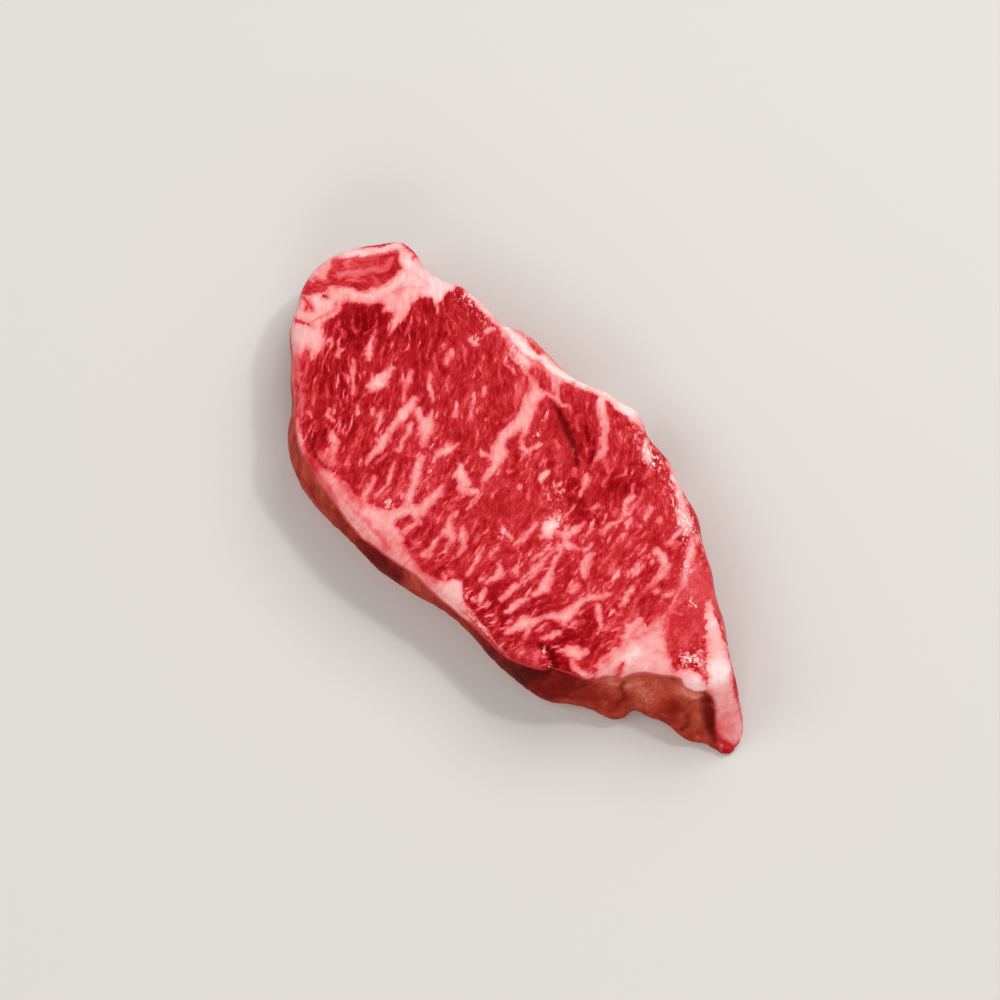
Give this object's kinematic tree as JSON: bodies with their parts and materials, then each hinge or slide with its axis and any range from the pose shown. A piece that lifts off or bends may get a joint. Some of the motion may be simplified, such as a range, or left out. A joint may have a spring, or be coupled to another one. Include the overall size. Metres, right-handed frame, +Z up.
{
  "type": "raw sirloin steak",
  "caption": "Raw boneless sirloin steak, a flat slab with a rounded blunt end, wavy sides, a rolled fat edge and a fold where the tapering tail meets the end wall.",
  "frame": {"origin": "on the surface that the steak rests on, under the middle of its bounding box", "axes": "+X along the steak from its blunt end to the tip of its tail, +Y towards the side that was next to the bone, away from the fat cap, +Z up out of the cut face that shows"},
  "size_m": [0.2259, 0.1067, 0.0269],
  "materials": {
    "meat": "wet marbled lean and fat, semi-gloss"
  },
  "bodies": {
    "root": {"steak": "meat"}
  },
  "joints": []
}
